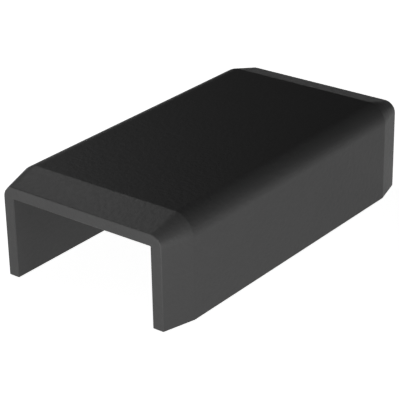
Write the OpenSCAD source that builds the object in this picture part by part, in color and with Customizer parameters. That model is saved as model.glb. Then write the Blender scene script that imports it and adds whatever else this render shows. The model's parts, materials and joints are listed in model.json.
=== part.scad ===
// Cable trunking joiner: a one-piece moulded cover that slides over the butt joint of two
// lengths of mini trunking. It is a U-shaped channel, open underneath and at both ends, with
// round long edges and a shallow bevel that runs round the outside of each end.
// The run of the trunking is along Y, the feet stand on Z = 0 and the origin is at the middle.

/* [Trunking] */
// Outside width of the trunking, in mm
trunking_w = 16; // [10:0.5:50]
// Outside height of the trunking, in mm
trunking_h = 8; // [6:0.5:30]
// Slip clearance between the trunking and the joiner, on each face
fit_gap = 0.1; // [0.05:0.05:0.5]

/* [Joiner] */
// Length along the run
joiner_l = 38; // [20:0.5:100]
// Thickness of the crown and of both legs
wall_t = 2.1; // [1.6:0.1:4]
// Outer radius of the two long edges
edge_r = 2.1; // [1.2:0.1:3]

/* [End bevels] */
// Length of each bevel along the run
bevel_l = 3.4; // [1:0.1:8]
// Depth that each bevel has dropped by at the end face
bevel_d = 0.9; // [0.2:0.1:1]

/* [Hidden] */
// Channel that the trunking lies in
channel_w = trunking_w + 2 * fit_gap;
channel_h = trunking_h + fit_gap;

// Outside of the joiner
joiner_w = channel_w + 2 * wall_t;
joiner_h = channel_h + wall_t;

// Flat part of the crown, and straight part of each leg, between the round edges
crown_w = joiner_w - 2 * edge_r;
leg_h = joiner_h - edge_r;

// How far the cutter runs past each open face of the channel
overrun = 1;

$fn = 96;

// Lengthwise outline of the outside: x is the reach from a mid-plane or a turning line,
// y is the run, and both ends fall away along their bevels
function bevelled_run(reach) =
    let (end = joiner_l / 2, shoulder = end - bevel_l)
    [
        [0, -end],
        [reach - bevel_d, -end],
        [reach, -shoulder],
        [reach, shoulder],
        [reach - bevel_d, end],
        [0, end],
    ];

// The crown's flat top with its two bevels, as deep as the whole joiner
module crown() {
    rotate([0, -90, 0])
        linear_extrude(crown_w, center = true)
            polygon(bevelled_run(joiner_h));
}

// One straight flank with its two bevels, from the mid-plane out
module flank() {
    linear_extrude(leg_h)
        polygon(bevelled_run(joiner_w / 2));
}

// One round long edge, which turns the same outline from the flank up to the crown, so that
// each bevel carries on round the corner as a piece of a cone
module long_edge() {
    translate([crown_w / 2, 0, leg_h])
        rotate([90, 0, 0])
            rotate_extrude(angle = 90)
                polygon(bevelled_run(edge_r));
}

// The space for the trunking, open underneath and at both ends
module channel() {
    translate([-channel_w / 2, -joiner_l / 2 - overrun, -overrun])
        cube([channel_w, joiner_l + 2 * overrun, channel_h + overrun]);
}

module joiner() {
    color("#343535")
    difference() {
        union() {
            crown();
            for (side = [0, 1])
                mirror([side, 0, 0]) {
                    flank();
                    long_edge();
                }
        }
        channel();
    }
}

joiner();
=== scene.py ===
"""Looks of a cable trunking joiner: a one-piece U-shaped cover, moulded in black PVC-U.

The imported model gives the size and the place. This script sweeps a finer shell round the same
channel, with the small edge radii that a moulding has, gives it a moulded finish, and sets up
a pale floor, soft light and the camera.
"""

import json
import logging
import math
from dataclasses import dataclass
from enum import Enum

import bpy
from mathutils import Matrix, Vector

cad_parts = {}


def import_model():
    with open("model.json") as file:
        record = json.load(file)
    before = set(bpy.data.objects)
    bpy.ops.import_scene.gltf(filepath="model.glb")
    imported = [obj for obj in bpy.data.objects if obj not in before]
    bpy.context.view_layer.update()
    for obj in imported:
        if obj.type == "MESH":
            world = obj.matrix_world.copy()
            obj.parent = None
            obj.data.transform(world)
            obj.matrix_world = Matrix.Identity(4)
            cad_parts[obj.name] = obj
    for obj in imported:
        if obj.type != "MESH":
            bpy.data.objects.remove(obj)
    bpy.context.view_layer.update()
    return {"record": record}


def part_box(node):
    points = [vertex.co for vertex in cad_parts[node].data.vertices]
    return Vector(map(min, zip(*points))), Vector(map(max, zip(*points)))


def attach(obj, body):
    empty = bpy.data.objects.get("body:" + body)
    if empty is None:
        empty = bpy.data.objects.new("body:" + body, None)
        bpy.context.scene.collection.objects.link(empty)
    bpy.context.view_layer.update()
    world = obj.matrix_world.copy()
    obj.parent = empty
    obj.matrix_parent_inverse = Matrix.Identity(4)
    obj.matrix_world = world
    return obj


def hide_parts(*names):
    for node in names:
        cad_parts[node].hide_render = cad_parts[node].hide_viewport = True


LOG = logging.getLogger("joiner")
MM = 0.001
QUARTER_TURN = math.pi / 2
NODE = "joiner"
BODY = "root"


class SeesWhite(Enum):
    """Rays that meet the floor as a plain white ground."""

    CAMERA = "Is Camera Ray"
    GLOSSY = "Is Glossy Ray"
    TRANSMISSION = "Is Transmission Ray"


def linear(hex_colour: str) -> tuple[float, float, float, float]:
    """Turns an sRGB hex colour into linear RGBA.

    Args:
        hex_colour: Colour as "#rrggbb".

    Returns:
        Linear red, green, blue and an alpha of 1.
    """
    channels = [int(hex_colour[i:i + 2], 16) / 255 for i in (1, 3, 5)]
    lit = [c / 12.92 if c <= 0.04045 else ((c + 0.055) / 1.055) ** 2.4 for c in channels]
    return (*lit, 1.0)


def outward(azimuth_deg: float, elevation_deg: float) -> Vector:
    """Gives the direction from the object out to a lamp or a camera.

    Args:
        azimuth_deg: Angle round the object, 0 in front and 90 on its right.
        elevation_deg: Angle above the floor.

    Returns:
        The direction, one unit long.
    """
    a, e = math.radians(azimuth_deg), math.radians(elevation_deg)
    return Vector((math.sin(a) * math.cos(e), -math.cos(a) * math.cos(e), math.sin(e)))


def add_object(name: str, data: bpy.types.ID) -> bpy.types.Object:
    """Adds an object to the scene.

    Args:
        name: Name of the object.
        data: Its mesh, lamp or camera.

    Returns:
        The new object, at the origin.
    """
    thing = bpy.data.objects.new(name, data)
    bpy.context.scene.collection.objects.link(thing)
    return thing


def empty_tree(owner: bpy.types.ID) -> bpy.types.NodeTree:
    """Gives a material or a world a tree with no nodes.

    Args:
        owner: The material or world.

    Returns:
        Its tree.
    """
    owner.use_nodes = True
    owner.node_tree.nodes.clear()
    return owner.node_tree


def add_node(
    tree: bpy.types.NodeTree, kind: str, inputs: dict | None = None, **settings
) -> bpy.types.Node:
    """Adds a node with its settings and links.

    Args:
        tree: Tree that takes the node.
        kind: Blender's type name of the node.
        inputs: Socket name or number to a value, or to an output socket to link.
        **settings: Properties of the node.

    Returns:
        The new node.
    """
    node = tree.nodes.new(kind)
    for name, value in settings.items():
        setattr(node, name, value)
    for key, value in (inputs or {}).items():
        if isinstance(value, bpy.types.NodeSocket):
            tree.links.new(value, node.inputs[key])
        else:
            node.inputs[key].default_value = value
    return node


@dataclass(frozen=True)
class MouldedPvc:
    """Black PVC-U, injection moulded in a spark-textured tool."""

    # To the eye: a dull charcoal black. The tool's fine even grain spreads light widely, so no
    # sharp reflection forms, and the pigment varies a little with the flow of the melt.
    # A real spark texture is 0.1 to 0.2 mm wide. It is drawn coarser here, so that it shows.
    dark: str = "#343434"
    pale: str = "#383838"
    flow_mm: float = 5.0
    grain_mm: float = 0.4
    grain_depth_mm: float = 0.03
    grain_strength: float = 1.0
    detail: float = 2.0
    roughness: float = 0.54
    roughness_spread: float = 0.05
    ior: float = 1.53
    specular: float = 0.24

    def make(self) -> bpy.types.Material:
        """Builds the material.

        Returns:
            The material, with its pattern on Object coordinates.
        """
        material = bpy.data.materials.new("moulded_black_pvc")
        tree = empty_tree(material)
        place = add_node(tree, "ShaderNodeTexCoord").outputs["Object"]
        flow, grain = (
            add_node(tree, "ShaderNodeTexNoise",
                     {"Vector": place, "Scale": 1 / (width * MM), "Detail": self.detail}).outputs["Fac"]
            for width in (self.flow_mm, self.grain_mm))
        tone = add_node(tree, "ShaderNodeMix",
                        {"Factor": flow, "A": linear(self.dark), "B": linear(self.pale)},
                        data_type="RGBA")
        polish = add_node(tree, "ShaderNodeMapRange",
                          {"Value": grain,
                           "To Min": self.roughness - self.roughness_spread,
                           "To Max": self.roughness + self.roughness_spread})
        relief = add_node(tree, "ShaderNodeBump",
                          {"Height": grain, "Strength": self.grain_strength,
                           "Distance": self.grain_depth_mm * MM})
        skin = add_node(tree, "ShaderNodeBsdfPrincipled",
                        {"Base Color": tone.outputs["Result"],
                         "Roughness": polish.outputs["Result"],
                         "Normal": relief.outputs["Normal"],
                         "IOR": self.ior, "Specular IOR Level": self.specular})
        add_node(tree, "ShaderNodeOutputMaterial", {"Surface": skin.outputs["BSDF"]})
        return material


@dataclass(frozen=True)
class WhiteGround:
    """Matte white paint on the floor."""

    # To the eye: a plain white ground with no edge, on which only the shadow shows.
    colour: str = "#e8e8e8"
    glow: float = 0.92

    def make(self) -> bpy.types.Material:
        """Builds the material.

        Returns:
            The material, white to the camera and in reflections, which keeps the shadow.
        """
        material = bpy.data.materials.new("white_ground")
        tree = empty_tree(material)
        rays = add_node(tree, "ShaderNodeLightPath").outputs
        seen = rays[SeesWhite.CAMERA.value]
        for ray in (SeesWhite.GLOSSY, SeesWhite.TRANSMISSION):
            seen = add_node(tree, "ShaderNodeMath", {0: seen, 1: rays[ray.value]},
                            operation="MAXIMUM").outputs[0]
        strength = add_node(tree, "ShaderNodeMath", {0: seen, 1: self.glow},
                            operation="MULTIPLY").outputs[0]
        skin = add_node(tree, "ShaderNodeBsdfDiffuse", {"Color": linear(self.colour)})
        light = add_node(tree, "ShaderNodeEmission", {"Strength": strength})
        both = add_node(tree, "ShaderNodeAddShader",
                        {0: skin.outputs["BSDF"], 1: light.outputs["Emission"]})
        add_node(tree, "ShaderNodeOutputMaterial", {"Surface": both.outputs["Shader"]})
        return material


@dataclass
class JoinerShell:
    """The joiner's one moulding, as a wall section swept round the channel.

    Every size is in millimetres. The outer long edges turn about the channel's inner corners, so
    their radius is the wall's own thickness.
    """

    width: float
    height: float
    run: float
    channel_h: float
    bevel_l: float = 3.4
    bevel_d: float = 0.9
    edge_r: float = 0.1
    edge_steps: int = 3
    turn_steps: int = 24
    weld: float = 0.001
    flat_deg: float = 0.5
    crease_deg: float = 10.0

    @property
    def wall(self) -> float:
        """Thickness of the crown and of both legs."""
        return self.height - self.channel_h

    @property
    def channel_w(self) -> float:
        """Clear width between the legs."""
        return self.width - 2 * self.wall

    def section(self) -> list[tuple[float, float]]:
        """Gives the wall's lengthwise section, from the channel's face outwards.

        Returns:
            Corners as (distance out from the channel, place along the run).
        """
        end = self.run / 2
        shoulder = end - self.bevel_l
        rim = self.wall - self.bevel_d
        return [(0, end), (rim, end), (self.wall, shoulder),
                (self.wall, -shoulder), (rim, -end), (0, -end)]

    def sweep_tree(self) -> bpy.types.GeometryNodeTree:
        """Builds the tree that sweeps a flat section round the channel.

        Returns:
            The tree, which takes the section as its geometry.
        """
        tree = bpy.data.node_groups.new("swept_wall", "GeometryNodeTree")
        for name, kind in (("Section", "Geometry"), ("Channel Width", "Float"),
                           ("Channel Height", "Float"), ("Turn Steps", "Int"),
                           ("Finish", "Material")):
            tree.interface.new_socket(name, in_out="INPUT", socket_type=f"NodeSocket{kind}")
        tree.interface.new_socket("Shell", in_out="OUTPUT", socket_type="NodeSocketGeometry")
        given = dict(add_node(tree, "NodeGroupInput").outputs.items())
        closed = self.close_feet(tree, self.sweep_wall(tree, given))
        real = add_node(tree, "GeometryNodeRealizeInstances", {"Geometry": closed})
        dressed = add_node(tree, "GeometryNodeSetMaterial",
                           {"Geometry": real.outputs["Geometry"], "Material": given["Finish"]})
        add_node(tree, "NodeGroupOutput", {"Shell": dressed.outputs["Geometry"]})
        return tree

    def sweep_wall(
        self, tree: bpy.types.NodeTree, given: dict[str, bpy.types.NodeSocket]
    ) -> bpy.types.NodeSocket:
        """Lays a sheet of points and moves each one to its place on the wall.

        Each station of the sweep is the section, turned about one of the channel's four corners:
        a foot, then each inner corner through a quarter turn, then the other foot.

        Args:
            tree: Tree that takes the nodes.
            given: The tree's inputs by name.

        Returns:
            The wall, which is still open at both feet.
        """
        steps = given["Turn Steps"]
        corners = add_node(tree, "GeometryNodeAttributeDomainSize",
                           {"Geometry": given["Section"]}).outputs["Point Count"]
        columns = add_node(tree, "FunctionNodeIntegerMath", {0: corners, 1: 1},
                           operation="ADD").outputs[0]

        # The stations at which each stretch of the sweep ends, and their count
        marks = [steps]
        for more in (1, 1, steps, 1, 1):
            marks.append(add_node(tree, "FunctionNodeIntegerMath", {0: marks[-1], 1: more},
                                  operation="ADD").outputs[0])
        turned, crossed, lowered, landed, stations = marks[1:]
        sheet = add_node(tree, "GeometryNodeMeshGrid",
                         {"Vertices X": stations, "Vertices Y": columns}).outputs["Mesh"]

        # Each point of the sheet takes its corner of the section
        index = add_node(tree, "GeometryNodeInputIndex").outputs["Index"]
        station = add_node(tree, "FunctionNodeIntegerMath", {0: index, 1: columns},
                           operation="DIVIDE_FLOOR").outputs[0]
        column = add_node(tree, "FunctionNodeIntegerMath", {0: index, 1: columns},
                          operation="MODULO").outputs[0]
        corner = add_node(tree, "FunctionNodeIntegerMath", {0: column, 1: corners},
                          operation="MODULO").outputs[0]
        place = add_node(tree, "GeometryNodeInputPosition").outputs["Position"]
        outline = add_node(tree, "GeometryNodeSampleIndex",
                           {"Geometry": given["Section"], "Value": place, "Index": corner},
                           data_type="FLOAT_VECTOR").outputs["Value"]

        # The section's turn and its pivot change with the station
        tall = given["Channel Height"]
        half = add_node(tree, "ShaderNodeMath", {0: given["Channel Width"], 1: 0.5},
                        operation="MULTIPLY").outputs[0]
        other_half = add_node(tree, "ShaderNodeMath", {0: half, 1: -1.0},
                              operation="MULTIPLY").outputs[0]
        first, second, pivot_x, rise, fall = (
            add_node(tree, "ShaderNodeMapRange",
                     {"Value": station, "From Min": start, "From Max": stop,
                      "To Min": low, "To Max": high}).outputs["Result"]
            for start, stop, low, high in (
                (1.0, turned, 0.0, -QUARTER_TURN),
                (crossed, lowered, 0.0, -QUARTER_TURN),
                (turned, crossed, half, other_half),
                (0.0, 1.0, 0.0, tall),
                (lowered, landed, tall, 0.0)))
        swing = add_node(tree, "ShaderNodeMath", {0: first, 1: second}, operation="ADD").outputs[0]
        pivot_z = add_node(tree, "ShaderNodeMath", {0: rise, 1: fall},
                           operation="MINIMUM").outputs[0]
        pivot = add_node(tree, "ShaderNodeCombineXYZ",
                         {"X": pivot_x, "Z": pivot_z}).outputs["Vector"]
        turn = add_node(tree, "ShaderNodeVectorRotate", {"Vector": outline, "Angle": swing},
                        rotation_type="Y_AXIS").outputs["Vector"]
        spot = add_node(tree, "ShaderNodeVectorMath", {0: turn, 1: pivot},
                        operation="ADD").outputs["Vector"]
        swept = add_node(tree, "GeometryNodeSetPosition",
                         {"Geometry": sheet, "Position": spot}).outputs["Geometry"]
        return add_node(tree, "GeometryNodeMergeByDistance",
                        {"Geometry": swept, "Distance": self.weld * MM}).outputs["Geometry"]

    def close_feet(
        self, tree: bpy.types.NodeTree, wall: bpy.types.NodeSocket
    ) -> bpy.types.NodeSocket:
        """Fills the open rim under each leg.

        Args:
            tree: Tree that takes the nodes.
            wall: The swept wall.

        Returns:
            The wall with both soles, as one closed shell.
        """
        sides = add_node(tree, "GeometryNodeInputMeshEdgeNeighbors").outputs["Face Count"]
        rim = add_node(tree, "FunctionNodeCompare", {"A": sides, "B": 1},
                       data_type="INT", operation="EQUAL").outputs["Result"]
        loops = add_node(tree, "GeometryNodeMeshToCurve",
                         {"Mesh": wall, "Selection": rim}).outputs["Curve"]
        feet = add_node(tree, "GeometryNodeFillCurve", {"Curve": loops}, mode="NGONS").outputs["Mesh"]
        soles = add_node(tree, "GeometryNodeFlipFaces", {"Mesh": feet}).outputs["Mesh"]
        both = add_node(tree, "GeometryNodeJoinGeometry")
        for part in (soles, wall):
            tree.links.new(part, both.inputs[0])
        return add_node(tree, "GeometryNodeMergeByDistance",
                        {"Geometry": both.outputs[0], "Distance": self.weld * MM}).outputs["Geometry"]

    def build(self, finish: bpy.types.Material) -> bpy.types.Object:
        """Sweeps the shell, rounds its edges and makes it a plain mesh.

        Args:
            finish: Material of the whole moulding.

        Returns:
            The shell's object, at the origin.
        """
        outline = bpy.data.meshes.new("wall_section")
        outline.from_pydata([(x * MM, y * MM, 0) for x, y in self.section()], [], [])
        draft = add_object("wall_section", outline)
        sweep = draft.modifiers.new("sweep", "NODES")
        sweep.node_group = self.sweep_tree()
        values = {"Channel Width": self.channel_w * MM, "Channel Height": self.channel_h * MM,
                  "Turn Steps": self.turn_steps, "Finish": finish}
        for item in sweep.node_group.interface.items_tree:
            if item.name in values:
                sweep[item.identifier] = values[item.name]
        flats = draft.modifiers.new("one_face_per_plane", "DECIMATE")
        flats.decimate_type = "DISSOLVE"
        flats.angle_limit = math.radians(self.flat_deg)
        rounding = draft.modifiers.new("edge_radius", "BEVEL")
        rounding.width = self.edge_r * MM
        rounding.segments = self.edge_steps
        rounding.limit_method = "ANGLE"
        rounding.angle_limit = math.radians(self.crease_deg)
        draft.modifiers.new("flat_faces_stay_flat", "WEIGHTED_NORMAL")
        depsgraph = bpy.context.evaluated_depsgraph_get()
        mesh = bpy.data.meshes.new_from_object(draft.evaluated_get(depsgraph))
        mesh.name = "joiner_shell"
        bpy.data.objects.remove(draft)
        return add_object("joiner_shell", mesh)


@dataclass(frozen=True)
class Softbox:
    """A soft lamp that faces the object.

    Its level is how bright a white card that faces it renders, where 1 is white.
    """

    name: str
    azimuth_deg: float
    elevation_deg: float
    level: float
    width_mm: float
    height_mm: float
    distance_mm: float

    def place(self, aim: Vector) -> None:
        """Adds the lamp to the scene.

        Args:
            aim: Point that the lamp faces, in metres.
        """
        out = outward(self.azimuth_deg, self.elevation_deg)
        lamp = bpy.data.lights.new(self.name, "AREA")
        lamp.shape = "RECTANGLE"
        lamp.size = self.width_mm * MM
        lamp.size_y = self.height_mm * MM
        lamp.energy = self.level * (math.pi * self.distance_mm * MM) ** 2
        holder = add_object(self.name, lamp)
        holder.location = aim + out * self.distance_mm * MM
        holder.rotation_euler = out.to_track_quat("Z", "Y").to_euler()
        holder.visible_camera = False


@dataclass(frozen=True)
class Studio:
    """White floor, soft lamps and a dim room."""

    floor_m: float = 6.0
    ground: WhiteGround = WhiteGround()
    skyline_level: float = 0.35
    skyline_deg: float = 0.0
    room_level: float = 0.025
    room_deg: float = 7.0
    lamps: tuple[Softbox, ...] = (
        Softbox("front_softbox", azimuth_deg=28, elevation_deg=1.5, level=0.97,
                width_mm=60, height_mm=14, distance_mm=150),
        Softbox("right_softbox", azimuth_deg=84, elevation_deg=2.5, level=0.2,
                width_mm=40, height_mm=18, distance_mm=150),
        Softbox("left_softbox", azimuth_deg=-75, elevation_deg=0, level=0.6,
                width_mm=60, height_mm=8, distance_mm=150),
        Softbox("high_softbox", azimuth_deg=-109, elevation_deg=46, level=0.185,
                width_mm=30, height_mm=30, distance_mm=130),
    )

    def build(self, aim: Vector) -> None:
        """Builds the floor, the lamps and the room.

        Args:
            aim: Point that the lamps face, in metres.
        """
        self.lay_floor()
        for lamp in self.lamps:
            lamp.place(aim)
        self.dim_room()

    def lay_floor(self) -> None:
        """Lays a white floor that keeps the object's shadow."""
        half = self.floor_m / 2
        mesh = bpy.data.meshes.new("floor")
        mesh.from_pydata([(-half, -half, 0), (half, -half, 0), (half, half, 0), (-half, half, 0)],
                         [], [(0, 1, 2, 3)])
        mesh.materials.append(self.ground.make())
        add_object("floor", mesh)

    def dim_room(self) -> None:
        """Makes a room that is pale at the floor's far edge and dim above it."""
        world = bpy.data.worlds.new("dim_room")
        tree = empty_tree(world)
        way = add_node(tree, "ShaderNodeTexCoord").outputs["Generated"]
        rise = add_node(tree, "ShaderNodeSeparateXYZ", {"Vector": way}).outputs["Z"]
        level = add_node(tree, "ShaderNodeMapRange",
                         {"Value": rise,
                          "From Min": math.sin(math.radians(self.skyline_deg)),
                          "From Max": math.sin(math.radians(self.room_deg)),
                          "To Min": self.skyline_level, "To Max": self.room_level},
                         interpolation_type="SMOOTHSTEP").outputs["Result"]
        glow = add_node(tree, "ShaderNodeBackground", {"Color": (1, 1, 1, 1), "Strength": level})
        add_node(tree, "ShaderNodeOutputWorld", {"Surface": glow.outputs["Background"]})
        bpy.context.scene.world = world


@dataclass(frozen=True)
class PhotoCamera:
    """Camera at the photograph's viewing angle, for a square frame."""

    azimuth_deg: float = 38.31
    elevation_deg: float = 25.25
    roll_deg: float = -1.12
    distance_mm: float = 157.9
    right_mm: float = -1.05
    up_mm: float = -1.87
    lens_mm: float = 145.2
    sensor_mm: float = 36.0

    def place(self, centre: Vector) -> None:
        """Adds the camera to the scene.

        Args:
            centre: Middle of the object's box, in metres.
        """
        a = math.radians(self.azimuth_deg)
        back = outward(self.azimuth_deg, self.elevation_deg)
        right = Vector((math.cos(a), math.sin(a), 0))
        up = back.cross(right)
        lens = bpy.data.cameras.new("photo_camera")
        lens.lens = self.lens_mm
        lens.sensor_width = self.sensor_mm
        lens.clip_start = MM
        holder = add_object("photo_camera", lens)
        spot = centre + (back * self.distance_mm + right * self.right_mm + up * self.up_mm) * MM
        axes = Matrix((right, up, back)).transposed().to_4x4()
        roll = Matrix.Rotation(math.radians(self.roll_deg), 4, "Z")
        holder.matrix_world = Matrix.Translation(spot) @ axes @ roll
        bpy.context.scene.camera = holder


def mount_height(record: dict, name: str) -> float:
    """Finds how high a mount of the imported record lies.

    Args:
        record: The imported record.
        name: Name of the mount.

    Returns:
        The mount's height above the feet, in millimetres.
    """
    return next(m["pos_m"][2] for m in record["mounts"] if m["name"] == name) / MM


def main() -> None:
    """Builds the joiner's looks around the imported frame."""
    logging.basicConfig(level=logging.INFO, format="%(name)s: %(message)s")
    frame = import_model()
    low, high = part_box(NODE)
    size = (high - low) / MM
    shell = JoinerShell(width=size.x, height=size.z, run=size.y,
                        channel_h=mount_height(frame["record"], "channel_ceiling"))
    piece = shell.build(MouldedPvc().make())
    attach(piece, BODY)
    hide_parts(NODE)
    LOG.info("%s: %d faces, wall %.2f mm, channel %.2f mm wide", piece.name,
             len(piece.data.polygons), shell.wall, shell.channel_w)
    centre = (low + high) / 2
    Studio().build(centre)
    PhotoCamera().place(centre)
    bpy.context.scene.view_settings.view_transform = "Standard"


if __name__ == "__main__":
    main()
